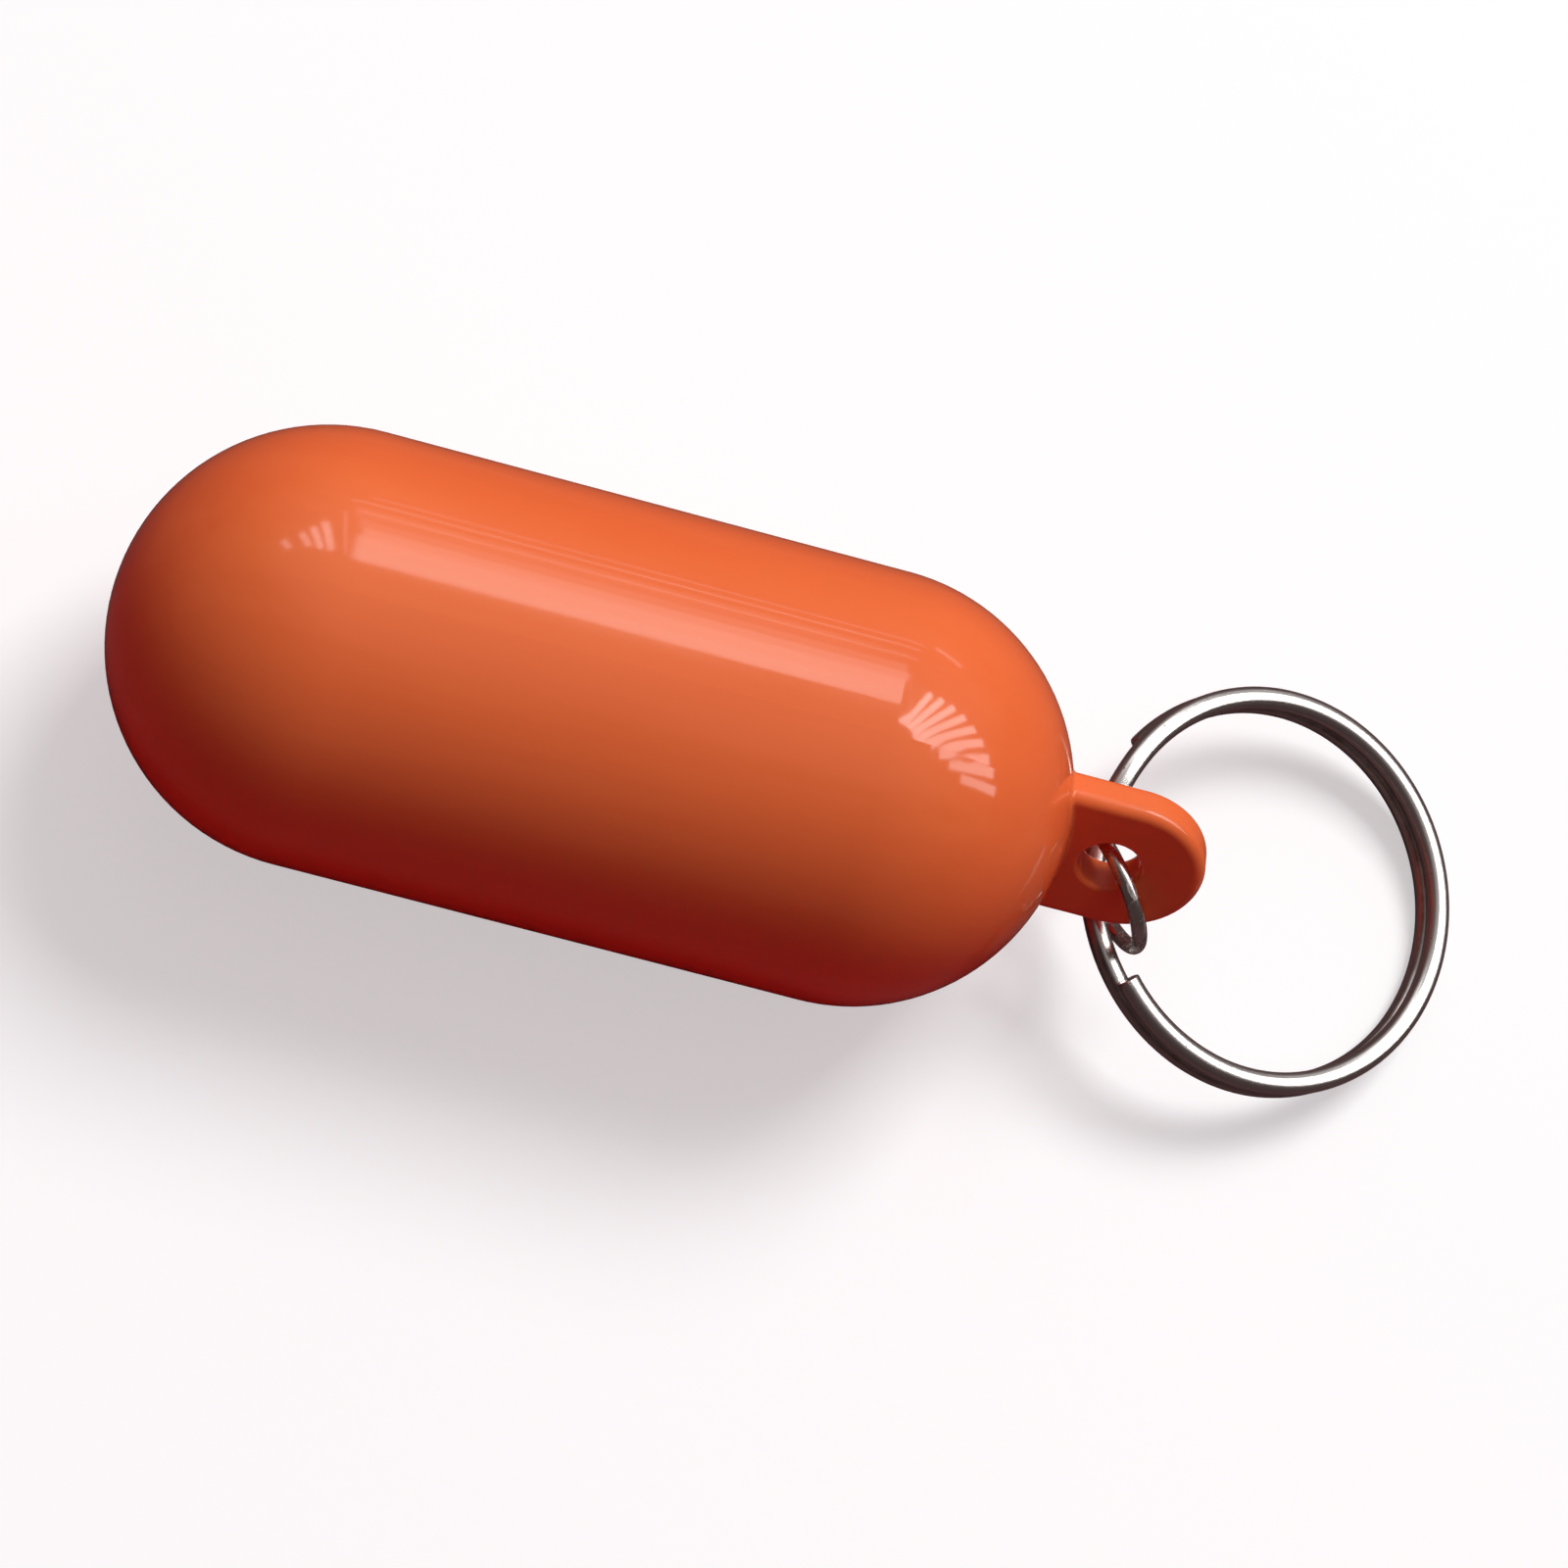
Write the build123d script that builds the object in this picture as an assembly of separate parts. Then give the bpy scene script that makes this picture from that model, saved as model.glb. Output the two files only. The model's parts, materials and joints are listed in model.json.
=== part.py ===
from build123d import *
import os
from math import cos, sin, degrees, radians

# A floating key fob: a hollow capsule of hard plastic, filled with closed-cell foam, with a moulded lug
# at one end. A small wire link hangs in the lug's eye, and a two-coil key ring hangs in the link.
# The capsule lies on its side along X with the lug at +X, and the key ring rests on the same surface.
# Millimetres. The parts are first made round the eye's centre, then moved so that the origin is on the
# surface, under the middle of the whole object.

# Capsule
CAPSULE_RADIUS = 15.0
STRAIGHT_LENGTH = 36.6
WALL = 1.5
SPIGOT_LENGTH = 6.0
SPIGOT_WALL = 1.2
SPIGOT_GAP = 0.05
FOAM_GAP = 0.2

# Lug, a flat plate with a round end that is centred a little beyond the eye
EYE_REACH = 3.3
TIP_OFFSET = 0.85
LUG_WIDTH = 11.4
LUG_THICKNESS = 2.8
LUG_EDGE_ROUND = 0.8
LUG_ROOT_FILLET = 0.4
LUG_ROOT_DEPTH = 0.8
EYE_RADIUS = 2.15
EYE_EDGE_ROUND = 0.35
LUG_ROLL = 30.0

# Link, a jump ring bent from round wire, closed end to end
LINK_RADIUS = 4.79
LINK_WIRE = 1.1
LINK_SLIT = 0.15
LINK_SLIT_PLACE = 230.0
LINK_HANG = 23.8
LINK_TURN = 30.3
LINK_DROP = 4.32
LINK_BACK = 1.64

# Key ring, two flat coils of flattened round wire that cross over from one level to the other
KEY_RING_OUTSIDE = 29.0
KEY_WIRE_WIDTH = 1.62
KEY_WIRE_HEIGHT = 1.44
KEY_WIRE_ROUND = 0.66
COIL_PITCH = 1.5
UPPER_START = 225.0
CROSSOVER_START = 154.4
CROSSOVER_END = 202.4
LOWER_END = 149.0
CROSSOVER_STEPS = 10
KEY_RING_CENTRE = Vector(13.15, 2.79, -9.64)
KEY_RING_PITCH = 16.4
KEY_RING_LEAN = 1.3

# Where the key ring's wire lies in the link, and the line about which the ring swings there
RING_HINGE_POINT = Vector(0.319, 0.44, -6.496)
RING_HINGE_LINE = Vector(0.0885, -0.977, -0.1938)

# How near an edge must be to the place it is looked for
EDGE_TOLERANCE = 0.01

# Directions of the lug: its face normal, and the way across its width, downwards
lug_normal = Vector(0, -cos(radians(LUG_ROLL)), sin(radians(LUG_ROLL)))
lug_across = Vector(0, -sin(radians(LUG_ROLL)), -cos(radians(LUG_ROLL)))
capsule_axis = Vector(1, 0, 0)

# Places along the capsule, from the eye's centre
cap_centre_x = -EYE_REACH - CAPSULE_RADIUS
far_centre_x = cap_centre_x - STRAIGHT_LENGTH
inner_radius = CAPSULE_RADIUS - WALL
spigot_radius = inner_radius - SPIGOT_GAP
key_coil_radius = (KEY_RING_OUTSIDE - KEY_WIRE_WIDTH) / 2


def turned(outline):
    """A solid made by turning a closed outline in the XZ plane about the capsule's axis."""
    return revolve(make_face(Plane.XZ * outline), Axis.X)


def make_body_shell():
    """The long cup: the straight tube and the far dome in one piece."""
    outline = CenterArc((far_centre_x, 0), CAPSULE_RADIUS, 90, 90)
    outline += CenterArc((far_centre_x, 0), inner_radius, 90, 90)
    outline += Line((far_centre_x, CAPSULE_RADIUS), (cap_centre_x, CAPSULE_RADIUS))
    outline += Line((far_centre_x, inner_radius), (cap_centre_x, inner_radius))
    outline += Line((cap_centre_x, inner_radius), (cap_centre_x, CAPSULE_RADIUS))
    outline += Line((far_centre_x - inner_radius, 0), (far_centre_x - CAPSULE_RADIUS, 0))
    return turned(outline)


def make_dome():
    """The end dome's wall alone."""
    outline = CenterArc((cap_centre_x, 0), CAPSULE_RADIUS, 0, 90)
    outline += CenterArc((cap_centre_x, 0), inner_radius, 0, 90)
    outline += Line((cap_centre_x, inner_radius), (cap_centre_x, CAPSULE_RADIUS))
    outline += Line((cap_centre_x + inner_radius, 0), (cap_centre_x + CAPSULE_RADIUS, 0))
    return turned(outline)


def make_spigot():
    """The tube that slides into the shell, and the collar that carries it inside the dome."""
    bore_radius = spigot_radius - SPIGOT_WALL
    tube = Cylinder(spigot_radius, SPIGOT_LENGTH) - Cylinder(bore_radius, SPIGOT_LENGTH)
    tube = Pos(cap_centre_x - SPIGOT_LENGTH / 2, 0, 0) * Rot(0, 90, 0) * tube
    collar = Cylinder(inner_radius + WALL / 2, WALL) - Cylinder(bore_radius, WALL)
    collar = Pos(cap_centre_x + WALL / 2, 0, 0) * Rot(0, 90, 0) * collar
    return tube + collar


def make_lug():
    """The flat lug, cut to end inside the dome's wall."""
    reach = EYE_REACH + CAPSULE_RADIUS / 2
    outline = Pos((TIP_OFFSET - reach) / 2, 0) * Rectangle(reach + TIP_OFFSET, LUG_WIDTH)
    outline += Pos(TIP_OFFSET, 0) * Circle(LUG_WIDTH / 2)
    plane = Plane(origin=(0, 0, 0), x_dir=capsule_axis, z_dir=lug_normal)
    plate = extrude(plane * outline, LUG_THICKNESS / 2, both=True)
    rims = []
    for edge in plate.edges():
        off_face = abs(abs((edge @ 0.5).dot(lug_normal)) - LUG_THICKNESS / 2)
        if off_face < EDGE_TOLERANCE and edge.bounding_box().max.X > -reach + EDGE_TOLERANCE:
            rims.append(edge)
    plate = fillet(rims, LUG_EDGE_ROUND)
    inside = Pos(cap_centre_x, 0, 0) * Sphere(CAPSULE_RADIUS - LUG_ROOT_DEPTH)
    return plate - inside


def make_eye_cap():
    """The end dome with the lug and its eye, and the spigot that is welded into the shell."""
    body = make_dome() + make_lug()
    on_dome = []
    for edge in body.edges():
        point = edge @ 0.5
        from_centre = (point - Vector(cap_centre_x, 0, 0)).length
        if abs(from_centre - CAPSULE_RADIUS) < EDGE_TOLERANCE and point.X > cap_centre_x + CAPSULE_RADIUS / 2:
            on_dome.append(edge)
    body = fillet(on_dome, LUG_ROOT_FILLET)
    plane = Plane(origin=(0, 0, 0), x_dir=capsule_axis, z_dir=lug_normal)
    eye = extrude(plane * Circle(EYE_RADIUS), LUG_THICKNESS, both=True)
    body = body - eye
    eye_rims = []
    for edge in body.edges():
        if edge.geom_type == GeomType.CIRCLE and abs(edge.radius - EYE_RADIUS) < EDGE_TOLERANCE:
            eye_rims.append(edge)
    body = fillet(eye_rims, EYE_EDGE_ROUND)
    return body + make_spigot()


def make_foam_core():
    """The closed-cell foam plug, with a narrower nose that clears the spigot."""
    radius = inner_radius - FOAM_GAP
    nose_radius = spigot_radius - SPIGOT_WALL - FOAM_GAP
    step_x = cap_centre_x - SPIGOT_LENGTH - FOAM_GAP
    outline = CenterArc((far_centre_x, 0), radius, 90, 90)
    outline += Polyline((far_centre_x, radius), (step_x, radius), (step_x, nose_radius), (cap_centre_x, nose_radius))
    outline += CenterArc((cap_centre_x, 0), nose_radius, 0, 90)
    outline += Line((far_centre_x - radius, 0), (cap_centre_x + nose_radius, 0))
    return turned(outline)


def link_plane():
    """The link's plane: X of the plane points down the link, Z is its normal."""
    hang = radians(LINK_HANG)
    turn = radians(LINK_TURN)
    down = lug_across * cos(hang) + capsule_axis * sin(hang)
    aside = capsule_axis * cos(hang) - lug_across * sin(hang)
    through = lug_normal * cos(turn) + aside * sin(turn)
    centre = down * LINK_DROP - through * LINK_BACK
    return Plane(origin=centre, x_dir=down, z_dir=down.cross(through))


def make_link_ring():
    """The link's wire, bent round to a closed butt joint."""
    slit_angle = degrees(LINK_SLIT / LINK_RADIUS)
    section = Plane.XZ * Pos(LINK_RADIUS, 0) * Circle(LINK_WIRE / 2)
    ring = revolve(section, Axis.Z, 360 - slit_angle)
    return link_plane().location * Rot(0, 0, LINK_SLIT_PLACE) * ring


def key_ring_plane():
    """The key ring's middle plane: X points away from the capsule, Z is up out of the coils."""
    pitch = radians(KEY_RING_PITCH)
    lean = radians(KEY_RING_LEAN)
    normal = Vector(sin(pitch), sin(lean), cos(pitch)).normalized()
    away = (capsule_axis - normal * capsule_axis.dot(normal)).normalized()
    return Plane(origin=KEY_RING_CENTRE, x_dir=away, z_dir=normal)


def wire_section(angle, level):
    """The wire's rounded section at one place on the ring."""
    turn = Rot(0, 0, angle)
    outline = RectangleRounded(KEY_WIRE_WIDTH, KEY_WIRE_HEIGHT, KEY_WIRE_ROUND)
    face = Plane.XZ * Pos(key_coil_radius, level) * outline
    return turn * face


def make_split_ring():
    """Upper coil, crossover and lower coil, as one wire."""
    upper = COIL_PITCH / 2
    upper_sweep = CROSSOVER_START + 360 - UPPER_START
    lower_sweep = LOWER_END + 360 - CROSSOVER_END
    upper_coil = revolve(wire_section(UPPER_START, upper), Axis.Z, upper_sweep)
    lower_coil = revolve(wire_section(CROSSOVER_END, -upper), Axis.Z, lower_sweep)
    sections = []
    for step in range(CROSSOVER_STEPS + 1):
        share = step / CROSSOVER_STEPS
        ease = share * share * (3 - 2 * share)
        angle = CROSSOVER_START + share * (CROSSOVER_END - CROSSOVER_START)
        sections.append(wire_section(angle, upper - ease * COIL_PITCH))
    crossover = loft(sections)
    ring = upper_coil + crossover + lower_coil
    return key_ring_plane().location * ring


def main():
    parts = {
        "body_shell": make_body_shell(),
        "eye_cap": make_eye_cap(),
        "foam_core": make_foam_core(),
        "link_ring": make_link_ring(),
        "split_ring": make_split_ring(),
    }
    boxes = [shape.bounding_box() for shape in parts.values()]
    low_x = min(box.min.X for box in boxes)
    high_x = max(box.max.X for box in boxes)
    low_y = min(box.min.Y for box in boxes)
    high_y = max(box.max.Y for box in boxes)
    to_frame = Pos(-(low_x + high_x) / 2, -(low_y + high_y) / 2, CAPSULE_RADIUS)
    os.makedirs("parts", exist_ok=True)
    for name, shape in parts.items():
        export_step(to_frame * shape, f"parts/{name}.step")
    print("eye centre", to_frame.position, "axis", lug_normal)
    print("ring hinge", to_frame.position + RING_HINGE_POINT, "axis", RING_HINGE_LINE.normalized())
    print("ring centre", to_frame.position + KEY_RING_CENTRE, "normal", key_ring_plane().z_dir)
    print("x", low_x, high_x, "y", low_y, high_y, "z", min(box.min.Z for box in boxes) + CAPSULE_RADIUS)


main()
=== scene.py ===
import bpy
import bmesh
import json
from math import cos, pi, radians, sin, tan
from mathutils import Matrix, Vector


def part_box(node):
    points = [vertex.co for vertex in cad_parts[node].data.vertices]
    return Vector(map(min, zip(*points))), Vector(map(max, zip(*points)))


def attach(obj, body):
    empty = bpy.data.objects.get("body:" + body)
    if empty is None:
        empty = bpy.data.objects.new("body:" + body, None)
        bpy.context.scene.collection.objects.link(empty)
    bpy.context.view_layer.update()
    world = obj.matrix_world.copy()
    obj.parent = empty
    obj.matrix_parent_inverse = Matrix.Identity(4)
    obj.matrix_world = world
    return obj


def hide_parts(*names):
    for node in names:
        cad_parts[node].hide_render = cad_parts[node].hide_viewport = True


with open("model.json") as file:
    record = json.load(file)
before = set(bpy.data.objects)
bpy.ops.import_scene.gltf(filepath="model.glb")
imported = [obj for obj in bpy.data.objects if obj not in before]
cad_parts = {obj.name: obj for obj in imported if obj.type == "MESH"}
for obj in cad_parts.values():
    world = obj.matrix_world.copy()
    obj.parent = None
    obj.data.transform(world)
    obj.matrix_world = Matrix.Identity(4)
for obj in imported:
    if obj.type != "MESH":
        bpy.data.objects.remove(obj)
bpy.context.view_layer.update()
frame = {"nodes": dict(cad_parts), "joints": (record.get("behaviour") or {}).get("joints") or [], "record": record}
mm = 0.001

# places that the frame gives: the eye, and the key ring's middle with the line square to its coils
jointPlace = {joint["name"]: Vector(joint["pos_m"]) for joint in frame["joints"]}
mountRow = {mount["name"]: mount for mount in frame["record"]["mounts"]}
eyeCentre = jointPlace["link_swing"]
ringCentre = Vector(mountRow["key_ring_loop"]["pos_m"])
ringNormal = Vector(mountRow["key_ring_loop"]["axis"]).normalized()
shellLow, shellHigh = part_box("body_shell")
capsuleAxisY = (shellLow.y + shellHigh.y) / 2
capsuleAxisZ = (shellLow.z + shellHigh.z) / 2
domeCentreX = shellHigh.x
print("frame loaded:", len(frame["nodes"]), "nodes")


# adds a shader node, sets its values and links its inputs
def put(tree, kind, feeds=None, values=None, **settings):
    made = tree.nodes.new("ShaderNode" + kind)
    for name, value in settings.items():
        setattr(made, name, value)
    for name, value in (values or {}).items():
        made.inputs[name].default_value = value
    for name, socket in (feeds or {}).items():
        tree.links.new(socket, made.inputs[name])
    return made


# one sum: each term is a number or a socket
def calc(tree, operation, first, second=0.0):
    feeds, values = {}, {}
    for slot, term in ((0, first), (1, second)):
        if isinstance(term, (int, float)):
            values[slot] = term
        else:
            feeds[slot] = term
    return put(tree, "Math", feeds, values, operation=operation).outputs[0]


# one colour fades to another by a share from 0 to 1; each colour is a tuple or a socket
def blendColour(tree, share, first, second):
    made = put(tree, "Mix", data_type="RGBA")
    sockets = {socket.identifier: socket for socket in made.inputs}
    tree.links.new(share, sockets["Factor_Float"])
    for name, colour in (("A_Color", first), ("B_Color", second)):
        if isinstance(colour, tuple):
            sockets[name].default_value = colour
        else:
            tree.links.new(colour, sockets[name])
    return next(socket for socket in made.outputs if socket.identifier == "Result_Color")


# starts a node group with its sockets
def newGroup(name, inputs, outputs):
    group = bpy.data.node_groups.new(name, "ShaderNodeTree")
    for socket, kind, value in inputs:
        made = group.interface.new_socket(socket, in_out="INPUT", socket_type=kind)
        if value is not None:
            made.default_value = value
    for socket, kind in outputs:
        group.interface.new_socket(socket, in_out="OUTPUT", socket_type=kind)
    start = group.nodes.new("NodeGroupInput").outputs
    finish = group.nodes.new("NodeGroupOutput").inputs
    return group, start, finish


# puts a node group to use and gives back its outputs
def useGroup(tree, group, feeds=None, values=None):
    made = put(tree, "Group", node_tree=group)
    for name, value in (values or {}).items():
        made.inputs[name].default_value = value
    for name, socket in (feeds or {}).items():
        tree.links.new(socket, made.inputs[name])
    return made.outputs


scalar, vector = "NodeSocketFloat", "NodeSocketVector"


# soft blotches, drawn out along X as plastic flows in a mould
def makeMottle():
    group, start, finish = newGroup(
        "mottle",
        [("Place", vector, None), ("Scale", scalar, 60.0), ("Draw", scalar, 0.3)],
        [("Mask", scalar)])
    split = put(group, "SeparateXYZ", {0: start["Place"]}).outputs
    along = calc(group, "MULTIPLY", split["X"], start["Draw"])
    place = put(group, "CombineXYZ", {"X": along, "Y": split["Y"], "Z": split["Z"]}).outputs[0]
    noise = put(group, "TexNoise", {"Vector": place, "Scale": start["Scale"]},
                {"Detail": 4.0, "Roughness": 0.55, "Distortion": 0.4})
    spread = put(group, "MapRange", {"Value": noise.outputs["Fac"]}, {"From Min": 0.32, "From Max": 0.68})
    group.links.new(spread.outputs[0], finish["Mask"])
    return group


# small dots, of which only a share shows
def makeSpecks():
    group, start, finish = newGroup(
        "specks",
        [("Place", vector, None), ("Scale", scalar, 300.0), ("Size", scalar, 0.1), ("Share", scalar, 0.1)],
        [("Mask", scalar)])
    warp = put(group, "TexNoise", {"Vector": start["Place"]}, {"Scale": 2600.0, "Detail": 2.0})
    cells = put(group, "TexVoronoi", {"Vector": start["Place"], "Scale": start["Scale"]})
    chance = put(group, "SeparateColor", {0: cells.outputs["Color"]}).outputs[0]
    ragged = calc(group, "MULTIPLY", start["Size"], calc(group, "ADD", warp.outputs["Fac"], 0.5))
    dot = calc(group, "LESS_THAN", cells.outputs["Distance"], ragged)
    kept = calc(group, "LESS_THAN", chance, start["Share"])
    group.links.new(calc(group, "MULTIPLY", dot, kept), finish["Mask"])
    return group


# fine scratches: thin borders between long cells, broken up by a coarse noise
def makeScuffs():
    group, start, finish = newGroup(
        "scuffs",
        [("Place", vector, None), ("Scale", scalar, 90.0), ("Width", scalar, 0.01), ("Amount", scalar, 0.5)],
        [("Mask", scalar)])
    wander = put(group, "TexNoise", {"Vector": start["Place"]}, {"Scale": 40.0, "Detail": 2.0})
    bent = put(group, "VectorMath", {0: wander.outputs["Color"]}, {1: (0.012, 0.012, 0.012)},
               operation="MULTIPLY")
    place = put(group, "VectorMath", {0: start["Place"], 1: bent.outputs[0]}, operation="ADD")
    cells = put(group, "TexVoronoi", {"Vector": place.outputs[0], "Scale": start["Scale"]},
                feature="DISTANCE_TO_EDGE")
    line = calc(group, "LESS_THAN", cells.outputs["Distance"], start["Width"])
    patches = put(group, "TexNoise", {"Vector": start["Place"], "Scale": start["Scale"]}, {"Detail": 1.0})
    shown = calc(group, "LESS_THAN", patches.outputs["Fac"], start["Amount"])
    group.links.new(calc(group, "MULTIPLY", line, shown), finish["Mask"])
    return group


# lines drawn along the wire of a flat coil, read round the coil's own middle
def makeDrawLines():
    group, start, finish = newGroup(
        "drawLines",
        [("Place", vector, None), ("Fineness", scalar, 9000.0), ("Change", scalar, 120.0)],
        [("Lines", scalar), ("Radius", scalar), ("Height", scalar)])
    split = put(group, "SeparateXYZ", {0: start["Place"]}).outputs
    squares = calc(group, "ADD", calc(group, "POWER", split["X"], 2.0), calc(group, "POWER", split["Y"], 2.0))
    radius = calc(group, "SQRT", squares)
    place = put(group, "CombineXYZ", {
        "X": calc(group, "MULTIPLY", radius, start["Fineness"]),
        "Y": calc(group, "MULTIPLY", split["Z"], start["Fineness"]),
        "Z": calc(group, "MULTIPLY", split["X"], start["Change"])}).outputs[0]
    turnShare = calc(group, "MULTIPLY", split["Y"], start["Change"])
    noise = put(group, "TexNoise", {"Vector": place, "W": turnShare},
                {"Scale": 1.0, "Detail": 3.0, "Roughness": 0.6}, noise_dimensions="4D")
    group.links.new(noise.outputs["Fac"], finish["Lines"])
    group.links.new(radius, finish["Radius"])
    group.links.new(split["Z"], finish["Height"])
    return group


mottle, specks, scuffs, drawLines = makeMottle(), makeSpecks(), makeScuffs(), makeDrawLines()


# a material whose patterns read the object's own coordinates
def newMaterial(name):
    material = bpy.data.materials.new(name)
    material.use_nodes = True
    tree = material.node_tree
    place = put(tree, "TexCoord").outputs["Object"]
    return material, tree, tree.nodes["Principled BSDF"], place


orangePlastic = {
    "lit": (0.90, 0.186, 0.054, 1),
    "deep": (0.84, 0.152, 0.040, 1),
    "speck": (0.10, 0.03, 0.02, 1),
    "grime": (0.22, 0.06, 0.035, 1),
    "streaks": {"Scale": 130.0, "Draw": 0.13},
    "clouds": {"Scale": 55.0, "Draw": 0.5},
    "specks": {"Scale": 190.0, "Size": 0.028, "Share": 0.08},
    "scuffs": {"Scale": 150.0, "Width": 0.0025, "Amount": 0.38},
    "grimeGrains": {"Scale": 3200.0, "Size": 0.34, "Share": 0.3},
    "grimePlace": (-5.2, 5.4, 3.2),
    "grimeReach": (1.0, 4.0),
    "streakColour": 0.8,
    "grimeColour": 0.7,
    "gloss": 0.06,
    "cloudDulls": 0.05,
    "scuffDulls": 0.08,
    "grimeDulls": 0.4,
    "peelScale": 260.0,
    "peelHeight": 0.004,
    "streakHeight": 0.5,
    "scuffDepth": 0.08,
}


# glossy orange plastic: flow streaks, a faint orange peel, specks and light scuffs
def makeOrangePlastic(look):
    material, tree, shader, place = newMaterial("orangePlastic")
    flow = useGroup(tree, mottle, {"Place": place}, look["streaks"])["Mask"]
    cloud = useGroup(tree, mottle, {"Place": place}, look["clouds"])["Mask"]
    dots = useGroup(tree, specks, {"Place": place}, look["specks"])["Mask"]
    lines = useGroup(tree, scuffs, {"Place": place}, look["scuffs"])["Mask"]
    # grime gathers where the lug meets the dome
    corner = tuple(eyeCentre + Vector(look["grimePlace"]) * mm)
    fromCorner = put(tree, "VectorMath", {0: place}, {1: corner}, operation="DISTANCE").outputs["Value"]
    nearest, farthest = look["grimeReach"]
    near = put(tree, "MapRange", {"Value": fromCorner},
               {"From Min": nearest * mm, "From Max": farthest * mm, "To Min": 1.0, "To Max": 0.0})
    dirt = useGroup(tree, specks, {"Place": place}, look["grimeGrains"])["Mask"]
    dirt = calc(tree, "MULTIPLY", dirt, calc(tree, "MULTIPLY", near.outputs[0], look["grimeColour"]))
    colour = blendColour(tree, calc(tree, "MULTIPLY", flow, look["streakColour"]), look["lit"], look["deep"])
    colour = blendColour(tree, dots, colour, look["speck"])
    colour = blendColour(tree, dirt, colour, look["grime"])
    tree.links.new(colour, shader.inputs["Base Color"])
    rough = calc(tree, "ADD", calc(tree, "MULTIPLY", cloud, look["cloudDulls"]), look["gloss"])
    rough = calc(tree, "ADD", rough, calc(tree, "MULTIPLY", lines, look["scuffDulls"]))
    rough = calc(tree, "ADD", rough, calc(tree, "MULTIPLY", dirt, look["grimeDulls"]))
    tree.links.new(rough, shader.inputs["Roughness"])
    peel = put(tree, "TexNoise", {"Vector": place}, {"Scale": look["peelScale"], "Detail": 1.0})
    height = calc(tree, "ADD", peel.outputs["Fac"], calc(tree, "MULTIPLY", flow, look["streakHeight"]))
    height = calc(tree, "SUBTRACT", height, calc(tree, "MULTIPLY", lines, look["scuffDepth"]))
    bump = put(tree, "Bump", {"Height": height}, {"Distance": look["peelHeight"] * mm, "Strength": 1.0})
    tree.links.new(bump.outputs[0], shader.inputs["Normal"])
    return material


whiteFoam = {
    "light": (0.90, 0.89, 0.85, 1),
    "shade": (0.74, 0.73, 0.68, 1),
    "cellsPerMetre": 1400.0,
    "cellDepth": 0.2,
    "blotches": {"Scale": 200.0, "Draw": 1.0},
    "leastShade": 0.4,
    "dullness": 0.75,
    "blotchDulls": 0.1,
}


# closed-cell foam: rounded cells with darker borders
def makeWhiteFoam(look):
    material, tree, shader, place = newMaterial("whiteFoam")
    cells = put(tree, "TexVoronoi", {"Vector": place}, {"Scale": look["cellsPerMetre"]}, feature="SMOOTH_F1")
    blotch = useGroup(tree, mottle, {"Place": place}, look["blotches"])["Mask"]
    share = calc(tree, "MULTIPLY", cells.outputs["Distance"], calc(tree, "ADD", blotch, look["leastShade"]))
    tree.links.new(blendColour(tree, share, look["light"], look["shade"]), shader.inputs["Base Color"])
    rough = calc(tree, "ADD", calc(tree, "MULTIPLY", blotch, look["blotchDulls"]), look["dullness"])
    tree.links.new(rough, shader.inputs["Roughness"])
    bump = put(tree, "Bump", {"Height": cells.outputs["Distance"]}, {"Distance": look["cellDepth"] * mm},
               invert=True)
    tree.links.new(bump.outputs[0], shader.inputs["Normal"])
    return material


keyRingSize = {
    "outside": 28.98 * mm,
    "wireWidth": 1.62 * mm,
    "wireHeight": 1.44 * mm,
    "corner": 0.68 * mm,
    "pitch": 1.5 * mm,
    "upperStart": 225.0,
    "crossoverStart": 154.4,
    "crossoverEnd": 202.4,
    "lowerEnd": 149.0,
    "crossoverSteps": 12,
    "degreesPerStep": 2.5,
    "cornerSteps": 7,
    "endRound": 0.14 * mm,
    "endSteps": 3,
    "mergeNearer": 0.001 * mm,
}
ringAway = (Vector((1, 0, 0)) - ringNormal * ringNormal.x).normalized()
ringTurn = Matrix((ringAway, ringNormal.cross(ringAway), ringNormal)).transposed()

nickelWire = {
    "bright": (0.74, 0.715, 0.69, 1),
    # dull: the link's dull blotches, and the painted shade on the coil's walls
    "dullAndWallShade": (0.50, 0.45, 0.43, 1),
    # tarnish: dark pits on both wires, and the painted shade near the seam between the coils
    "tarnishAndSeamShade": (0.20, 0.15, 0.135, 1),
    "gloss": 0.19,
    "wallGloss": 0.30,
    "wallEdge": 0.2,
    "drawn": {"Fineness": 9000.0, "Change": 90.0},
    "lineDepth": 0.012,
    "lineDulls": 0.08,
    # leastWallShade: the least painted shade on the coil's walls, between the drawn lines
    "leastWallShade": 0.3,
    "seamReach": (0.10, 0.55),
    "seamBlotches": {"Scale": 500.0, "Draw": 1.0},
    "leastSeam": 0.35,
    "coilPits": {"Scale": 2200.0, "Size": 0.16, "Share": 0.10},
    "pitColour": 0.6,
    "pitDulls": 0.2,
    "pitDepth": 0.3,
    "faceLines": 0.2,
    "linkBlotches": {"Scale": 420.0, "Draw": 1.0},
    "linkScuffs": {"Scale": 700.0, "Width": 0.03, "Amount": 0.55},
    "linkPits": {"Scale": 2600.0, "Size": 0.18, "Share": 0.14},
    "linkBlotchColour": 0.7,
    "linkPitColour": 0.7,
    "linkBlotchDulls": 0.10,
    "linkScuffDulls": 0.2,
    "linkDepth": 0.004,
}
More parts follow.
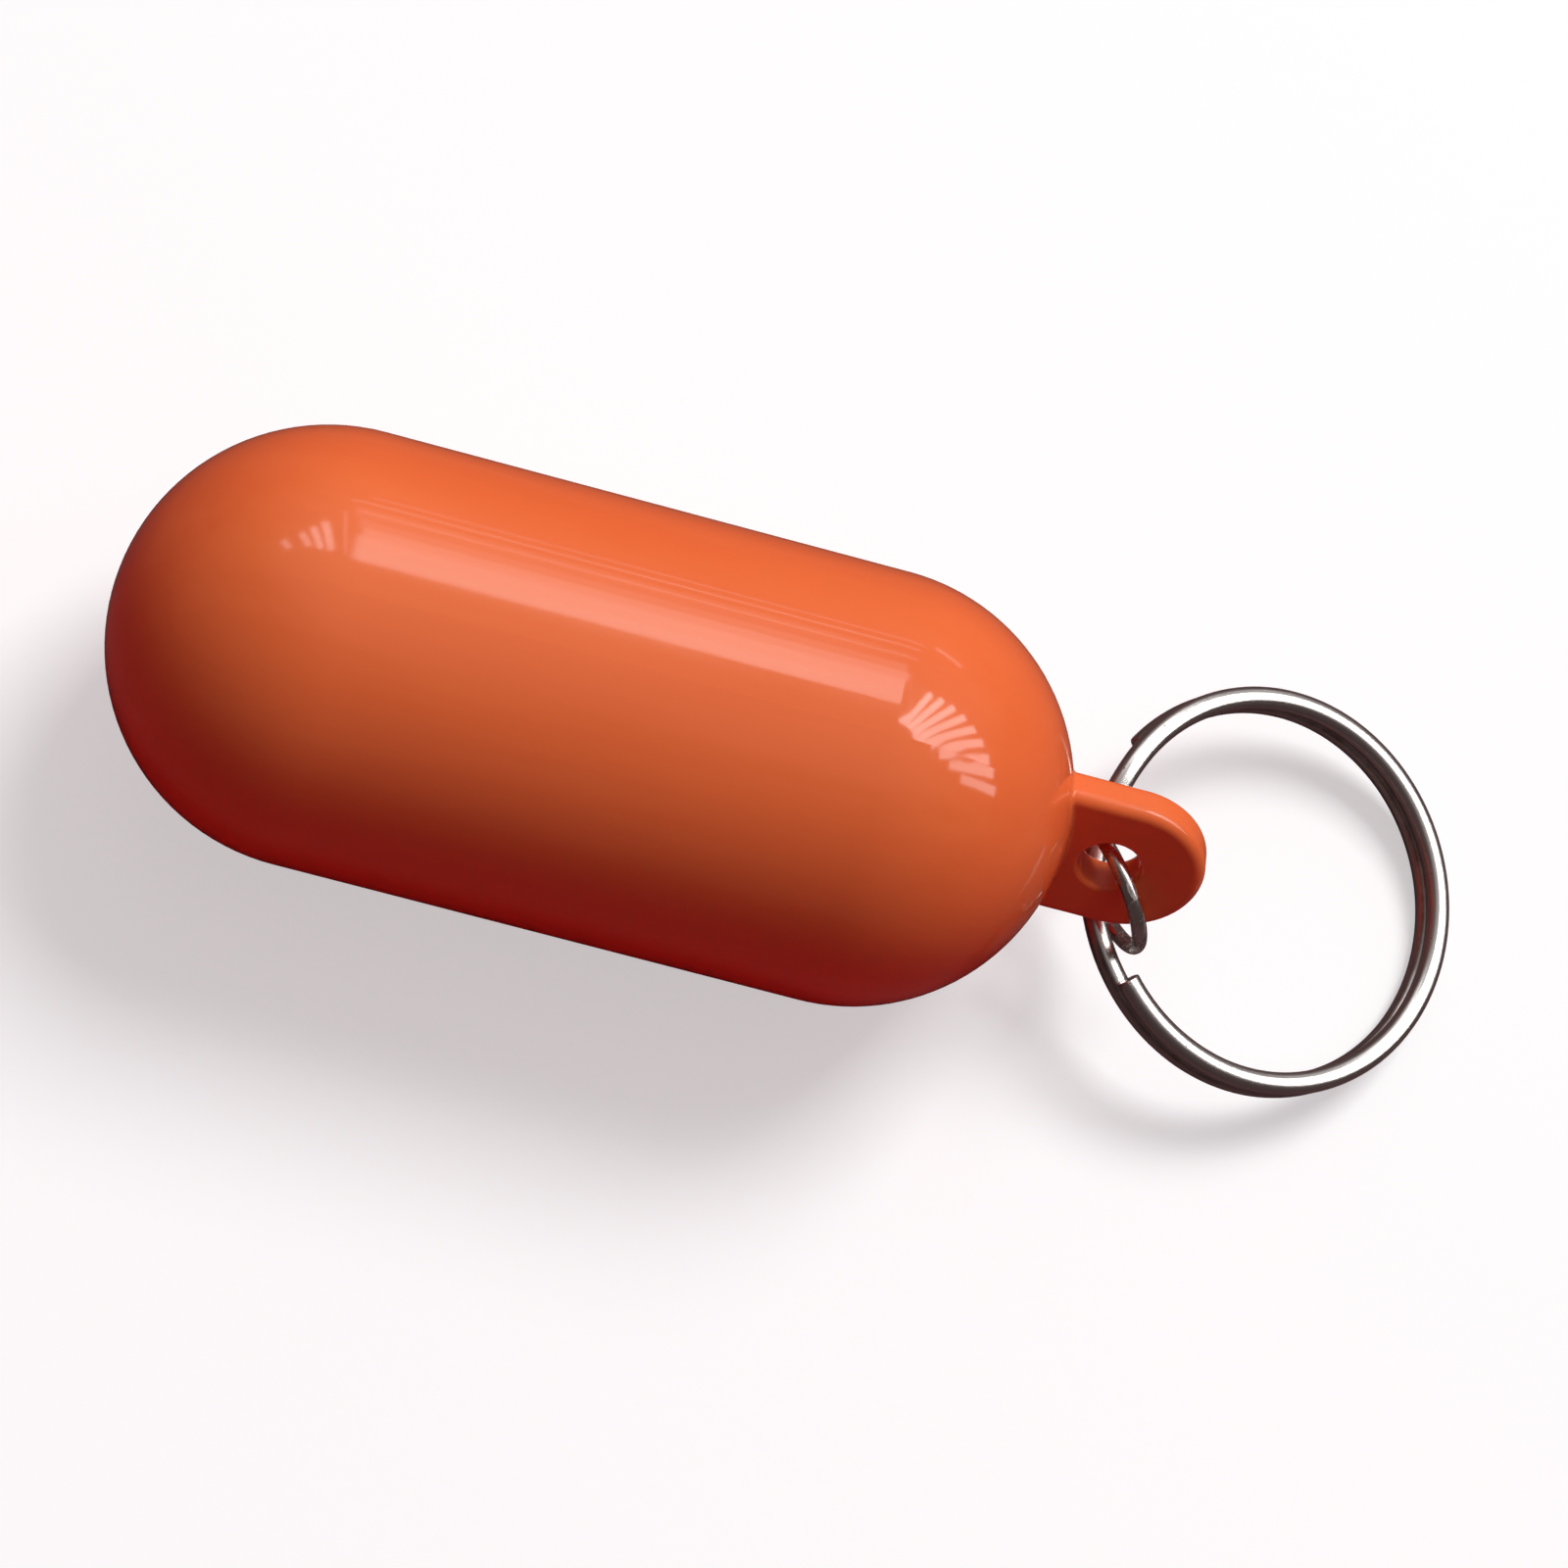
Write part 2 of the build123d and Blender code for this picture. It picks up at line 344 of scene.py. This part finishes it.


# nickel-plated coil: bright faces, walls with lines drawn along the wire, and on the walls a darker colour that is
# painted shade for the dark room they mirror
def makeNickelCoil(look, size):
    material, tree, shader, place = newMaterial("nickelCoil")
    local = put(tree, "VectorMath", {0: place}, {1: tuple(ringCentre)}, operation="SUBTRACT").outputs[0]
    local = put(tree, "VectorRotate", {"Vector": local}, {"Rotation": tuple(ringTurn.inverted().to_euler())},
                rotation_type="EULER_XYZ").outputs[0]
    drawn = useGroup(tree, drawLines, {"Place": local}, look["drawn"])
    outer = size["outside"] / 2
    inner = outer - size["wireWidth"]
    edge = look["wallEdge"] * mm
    outWall = put(tree, "MapRange", {"Value": drawn["Radius"]},
                  {"From Min": outer - 2 * edge, "From Max": outer - edge})
    inWall = put(tree, "MapRange", {"Value": drawn["Radius"]},
                 {"From Min": inner + edge, "From Max": inner + 2 * edge, "To Min": 1.0, "To Max": 0.0})
    wall = calc(tree, "MAXIMUM", outWall.outputs[0], inWall.outputs[0])
    # painted shade: the walls darken further, in blotches, near the seam between the two coils
    nearest, farthest = look["seamReach"]
    seam = put(tree, "MapRange", {"Value": calc(tree, "ABSOLUTE", drawn["Height"])},
               {"From Min": nearest * mm, "From Max": farthest * mm, "To Min": 1.0, "To Max": 0.0})
    blotch = useGroup(tree, mottle, {"Place": place}, look["seamBlotches"])["Mask"]
    pits = useGroup(tree, specks, {"Place": place}, look["coilPits"])["Mask"]
    lines = put(tree, "MapRange", {"Value": drawn["Lines"]}, {"From Min": 0.36, "From Max": 0.66}).outputs[0]
    least = look["leastWallShade"]
    # painted shade: the walls take the darker colour in place of the dark room they mirror; the drawn lines on
    # them are real marks that deepen it
    dullAndShadeShare = calc(tree, "MULTIPLY", wall, calc(tree, "ADD", calc(tree, "MULTIPLY", lines, 1 - least), least))
    colour = blendColour(tree, dullAndShadeShare, look["bright"], look["dullAndWallShade"])
    seamShade = calc(tree, "MULTIPLY", wall, seam.outputs[0])
    seamShade = calc(tree, "MULTIPLY", seamShade, calc(tree, "ADD", blotch, look["leastSeam"]))
    colour = blendColour(tree, calc(tree, "MINIMUM", seamShade, 1.0), colour, look["tarnishAndSeamShade"])
    colour = blendColour(tree, calc(tree, "MULTIPLY", pits, look["pitColour"]), colour, look["tarnishAndSeamShade"])
    tree.links.new(colour, shader.inputs["Base Color"])
    rough = calc(tree, "ADD", calc(tree, "MULTIPLY", wall, look["wallGloss"] - look["gloss"]), look["gloss"])
    rough = calc(tree, "ADD", rough, calc(tree, "MULTIPLY", lines, look["lineDulls"]))
    rough = calc(tree, "ADD", rough, calc(tree, "MULTIPLY", pits, look["pitDulls"]))
    tree.links.new(rough, shader.inputs["Roughness"])
    shader.inputs["Metallic"].default_value = 1.0
    onFace = look["faceLines"]
    strength = calc(tree, "ADD", calc(tree, "MULTIPLY", wall, 1 - onFace), onFace)
    height = calc(tree, "MULTIPLY", drawn["Lines"], strength)
    height = calc(tree, "SUBTRACT", height, calc(tree, "MULTIPLY", pits, look["pitDepth"]))
    bump = put(tree, "Bump", {"Height": height}, {"Distance": look["lineDepth"] * mm, "Strength": 1.0})
    tree.links.new(bump.outputs[0], shader.inputs["Normal"])
    return material


# the small link: round nickel wire, dulled and scratched where it rubs
def makeNickelLink(look):
    material, tree, shader, place = newMaterial("nickelLink")
    blotch = useGroup(tree, mottle, {"Place": place}, look["linkBlotches"])["Mask"]
    lines = useGroup(tree, scuffs, {"Place": place}, look["linkScuffs"])["Mask"]
    pits = useGroup(tree, specks, {"Place": place}, look["linkPits"])["Mask"]
    dullAndShadeShare = calc(tree, "MULTIPLY", blotch, look["linkBlotchColour"])
    colour = blendColour(tree, dullAndShadeShare, look["bright"], look["dullAndWallShade"])
    pitted = calc(tree, "MULTIPLY", pits, look["linkPitColour"])
    tree.links.new(blendColour(tree, pitted, colour, look["tarnishAndSeamShade"]), shader.inputs["Base Color"])
    rough = calc(tree, "ADD", calc(tree, "MULTIPLY", blotch, look["linkBlotchDulls"]), look["gloss"])
    rough = calc(tree, "ADD", rough, calc(tree, "MULTIPLY", lines, look["linkScuffDulls"]))
    tree.links.new(rough, shader.inputs["Roughness"])
    shader.inputs["Metallic"].default_value = 1.0
    height = calc(tree, "SUBTRACT", blotch, calc(tree, "ADD", lines, pits))
    bump = put(tree, "Bump", {"Height": height}, {"Distance": look["linkDepth"] * mm, "Strength": 1.0})
    tree.links.new(bump.outputs[0], shader.inputs["Normal"])
    return material


plasticFinish = makeOrangePlastic(orangePlastic)
foamFinish = makeWhiteFoam(whiteFoam)
coilFinish = makeNickelCoil(nickelWire, keyRingSize)
linkFinish = makeNickelLink(nickelWire)
for nodeName, finish in (("body_shell", plasticFinish), ("eye_cap", plasticFinish), ("foam_core", foamFinish),
                         ("link_ring", linkFinish)):
    slots = frame["nodes"][nodeName].material_slots
    if not slots:
        frame["nodes"][nodeName].data.materials.append(finish)
    for slot in slots:
        slot.material = finish
print("finishes made")


# the share of the drop made by the time a share of the crossover is passed
def crossoverDrop(share):
    return share * share * (3 - 2 * share)


# one closed wire in two flat coils: a rounded outline is spun round the ring's middle, and drops one
# level at the crossover
def makeKeyRing(size):
    bm = bmesh.new()
    half = size["wireWidth"] / 2
    coilRadius = size["outside"] / 2 - half
    upper = size["pitch"] / 2
    made = bmesh.ops.create_grid(bm, x_segments=1, y_segments=1, size=half)
    flatter = size["wireHeight"] / size["wireWidth"]
    bmesh.ops.scale(bm, verts=bm.verts, vec=(1, flatter, 1))
    bmesh.ops.bevel(bm, geom=made["verts"], affect="VERTICES", offset=size["corner"],
                    segments=size["cornerSteps"], profile=0.5, material=-1)
    bmesh.ops.rotate(bm, verts=bm.verts, cent=(0, 0, 0), matrix=Matrix.Rotation(pi / 2, 3, "X"))
    bmesh.ops.translate(bm, verts=bm.verts, vec=(coilRadius, 0, upper))
    toStart = Matrix.Rotation(radians(size["upperStart"]), 3, "Z")
    bmesh.ops.rotate(bm, verts=bm.verts, cent=(0, 0, 0), matrix=toStart)
    geometry = bm.verts[:] + bm.edges[:] + bm.faces[:]
    across = size["crossoverEnd"] - size["crossoverStart"]
    runs = [(size["crossoverStart"] + 360 - size["upperStart"], 0.0)]
    for step in range(size["crossoverSteps"]):
        low, high = step / size["crossoverSteps"], (step + 1) / size["crossoverSteps"]
        drop = size["pitch"] * (crossoverDrop(high) - crossoverDrop(low))
        runs.append((across / size["crossoverSteps"], drop))
    runs.append((size["lowerEnd"] + 360 - size["crossoverEnd"], 0.0))
    for sweep, drop in runs:
        steps = max(1, round(sweep / size["degreesPerStep"]))
        spun = bmesh.ops.spin(bm, geom=geometry, cent=(0, 0, 0), axis=(0, 0, 1), dvec=(0, 0, -drop / steps),
                              angle=radians(sweep), steps=steps, use_duplicate=False)
        geometry = spun["geom_last"]
    bmesh.ops.remove_doubles(bm, verts=bm.verts, dist=size["mergeNearer"])
    bmesh.ops.recalc_face_normals(bm, faces=bm.faces)
    ends = [face for face in bm.faces if len(face.verts) > 4]
    rims = list({edge for face in ends for edge in face.edges})
    bmesh.ops.bevel(bm, geom=rims, affect="EDGES", offset=size["endRound"], segments=size["endSteps"],
                    profile=0.5, material=-1)
    bmesh.ops.transform(bm, verts=bm.verts, matrix=Matrix.Translation(ringCentre) @ ringTurn.to_4x4())
    return bm


sharpFrom = radians(50)


# turns a bmesh into a smooth-shaded object on its body
def finishPiece(name, bm, finish, body, node):
    mesh = bpy.data.meshes.new(name)
    bm.to_mesh(mesh)
    bm.free()
    for polygon in mesh.polygons:
        polygon.use_smooth = True
    mesh.set_sharp_from_angle(angle=sharpFrom)
    piece = bpy.data.objects.new(name, mesh)
    bpy.context.collection.objects.link(piece)
    mesh.materials.append(finish)
    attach(piece, body)
    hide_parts(node)
    return piece


keyRing = finishPiece("twoCoilRing", makeKeyRing(keyRingSize), coilFinish,
                      "key_ring", "split_ring")
print("key ring made:", len(keyRing.data.polygons), "faces")

floorLook = {
    "pale": (0.56, 0.56, 0.56, 1),
    "lift": 0.52,
    "bench": (0.58, 0.022, 0.055, 1),
    "mirrored": (0.11, 0.066, 0.066, 1),
    "grainScale": 900.0,
    "grainDepth": 0.02,
    "dullness": 0.8,
    "half": 4.0,
}


# the floor is pale to look at, but bounces and mirrors as a dark red-brown bench
def makeFloor(look):
    material, tree, shader, place = newMaterial("paleFloor")
    grain = put(tree, "TexNoise", {"Vector": place}, {"Scale": look["grainScale"], "Detail": 2.0})
    speckle = calc(tree, "MULTIPLY", grain.outputs["Fac"], look["grainDepth"])
    value = calc(tree, "ADD", speckle, 1 - look["grainDepth"] / 2)
    shade = put(tree, "HueSaturation", {"Value": value}, {"Color": look["pale"]})
    tree.links.new(shade.outputs[0], shader.inputs["Base Color"])
    shader.inputs["Roughness"].default_value = look["dullness"]
    shader.inputs["Specular IOR Level"].default_value = 0.0
    shader.inputs["Emission Color"].default_value = (1, 1, 1, 1)
    shader.inputs["Emission Strength"].default_value = look["lift"]
    bench = put(tree, "BsdfDiffuse", values={"Color": look["bench"]})
    mirrored = put(tree, "BsdfDiffuse", values={"Color": look["mirrored"]})
    path = put(tree, "LightPath").outputs
    unseen = put(tree, "MixShader", {0: path["Is Glossy Ray"], 1: bench.outputs[0], 2: mirrored.outputs[0]})
    seen = put(tree, "MixShader", {0: path["Is Camera Ray"], 1: unseen.outputs[0], 2: shader.outputs[0]})
    tree.links.new(seen.outputs[0], tree.nodes["Material Output"].inputs["Surface"])
    bm = bmesh.new()
    bmesh.ops.create_grid(bm, x_segments=1, y_segments=1, size=look["half"])
    mesh = bpy.data.meshes.new("floor")
    bm.to_mesh(mesh)
    bm.free()
    floor = bpy.data.objects.new("floor", mesh)
    bpy.context.collection.objects.link(floor)
    mesh.materials.append(material)


makeFloor(floorLook)

cameraLook = {
    "fromEye": (-64.8, -99.2, 365.9),
    "forward": (0.1099, 0.2573, -0.9599),
    "up": (-0.2518, 0.9415, 0.2235),
    "view": 15.857,
    "nearest": 0.01,
}


# stands over the fob, a little towards the capsule's plain end
def makeCamera(look):
    forward = Vector(look["forward"]).normalized()
    side = forward.cross(Vector(look["up"])).normalized()
    turn = Matrix((side, side.cross(forward), -forward)).transposed().to_4x4()
    camera = bpy.data.objects.new("camera", bpy.data.cameras.new("camera"))
    camera.data.angle = radians(look["view"])
    camera.data.clip_start = look["nearest"]
    camera.matrix_world = Matrix.Translation(eyeCentre + Vector(look["fromEye"]) * mm) @ turn
    bpy.context.collection.objects.link(camera)
    bpy.context.scene.camera = camera


makeCamera(cameraLook)

# mirrored windows: each pane is its azimuth from +Y towards +X, its low and high edges and its width,
# all in degrees, and its brightness
windowLook = {
    "distance": 2.0,
    "panes": [
        (3.5, 50.5, 57.5, 20.0, 3.4),
        (4.0, 43.5, 50.5, 19.0, 3.0),
        (5.0, 38.5, 43.5, 17.0, 2.2),
        (3.5, 34.0, 38.5, 16.0, 1.1),
        (1.0, 26.0, 34.0, 14.0, 0.5),
        (4.0, 28.4, 29.2, 18.0, 1.8),
        (2.0, 22.0, 22.9, 20.0, 2.2),
        (6.0, 17.6, 18.3, 14.0, 1.8),
        (23.0, 14.5, 16.5, 12.0, 1.8),
        (-10.5, 30.0, 55.0, 1.5, 2.0),
        (-21.0, 36.0, 53.0, 5.0, 4.0),
        (-28.0, 38.0, 51.0, 4.0, 4.5),
        (-35.0, 39.0, 48.0, 4.0, 3.5),
        (-46.0, 38.0, 44.0, 4.0, 3.0),
    ],
    "slats": 9,
    "slatStart": 27.0,
    "slatPitch": 7.0,
    "slatWidth": 4.9,
    "slatBrightness": 7.0,
    "slatDims": 0.45,
    "slatLow": (42, 21),
    "slatHigh": (65, 22),
}


# one flat light that faces the round end's middle, seen either in reflections only or by its shine only
def makePane(name, azimuth, low, high, width, brightness, distance, mirroredOnly=True):
    across, lift = radians(azimuth), radians((low + high) / 2)
    outward = Vector((sin(across) * cos(lift), cos(across) * cos(lift), sin(lift)))
    sideways = Vector((cos(across), -sin(across), 0))
    light = bpy.data.lights.new(name, "AREA")
    light.shape = "RECTANGLE"
    light.size = 2 * distance * tan(radians(width) / 2) * cos(lift)
    light.size_y = 2 * distance * tan(radians(high - low) / 2)
    light.energy = brightness * pi * light.size * light.size_y
    lamp = bpy.data.objects.new(name, light)
    middle = Vector((domeCentreX, capsuleAxisY, capsuleAxisZ))
    lamp.matrix_world = Matrix.Translation(middle + outward * distance) @ Matrix(
        (sideways, outward.cross(sideways), outward)).transposed().to_4x4()
    lamp.visible_diffuse = not mirroredOnly
    lamp.visible_glossy = mirroredOnly
    bpy.context.collection.objects.link(lamp)


# the panes, then a row of blind slats that get lower and dimmer to the side
def makeWindows(look):
    for number, (azimuth, low, high, width, brightness) in enumerate(look["panes"]):
        makePane(f"pane{number}", azimuth, low, high, width, brightness, look["distance"])
    for number in range(look["slats"]):
        azimuth = look["slatStart"] + number * look["slatPitch"]
        share = number / (look["slats"] - 1)
        low = look["slatLow"][0] - look["slatLow"][1] * share
        high = look["slatHigh"][0] - look["slatHigh"][1] * share ** 3
        brightness = look["slatBrightness"] * (1 - look["slatDims"] * share)
        makePane(f"slat{number}", azimuth, low, high, look["slatWidth"], brightness, look["distance"])


makeWindows(windowLook)
keyLook = {
    "azimuth": 27.0,
    "low": 42.0,
    "high": 64.0,
    "width": 38.0,
    "brightness": 16.6,
    "distance": 1.6,
    "mirroredOnly": False,
}
makePane("softKey", **keyLook)

skyLook = {
    "towards": (0.17, 0.55, 0.82),
    "spread": 0.5,
    "dim": (0.100, 0.022, 0.045, 1),
    "soft": (0.45, 0.42, 0.42, 1),
    "mirrored": (0.070, 0.050, 0.048, 1),
    "seen": (0.93, 0.93, 0.92, 1),
}


# a dim room that is brighter towards the windows; only the camera sees it pale
def makeSky(look):
    world = bpy.data.worlds.new("room")
    bpy.context.scene.world = world
    world.use_nodes = True
    tree = world.node_tree
    place = put(tree, "TexCoord").outputs["Generated"]
    towards = tuple(Vector(look["towards"]).normalized())
    facing = put(tree, "VectorMath", {0: place}, {1: towards}, operation="DOT_PRODUCT").outputs["Value"]
    share = put(tree, "MapRange", {"Value": facing}, {"From Min": look["spread"], "From Max": 1.0},
                interpolation_type="SMOOTHSTEP")
    path = put(tree, "LightPath").outputs
    dim = blendColour(tree, path["Is Glossy Ray"], look["dim"], look["mirrored"])
    room = blendColour(tree, share.outputs[0], dim, look["soft"])
    colour = blendColour(tree, path["Is Camera Ray"], room, look["seen"])
    tree.links.new(colour, tree.nodes["Background"].inputs["Color"])


makeSky(skyLook)
bpy.context.scene.view_settings.view_transform = "Standard"
print("floor, camera and light set")
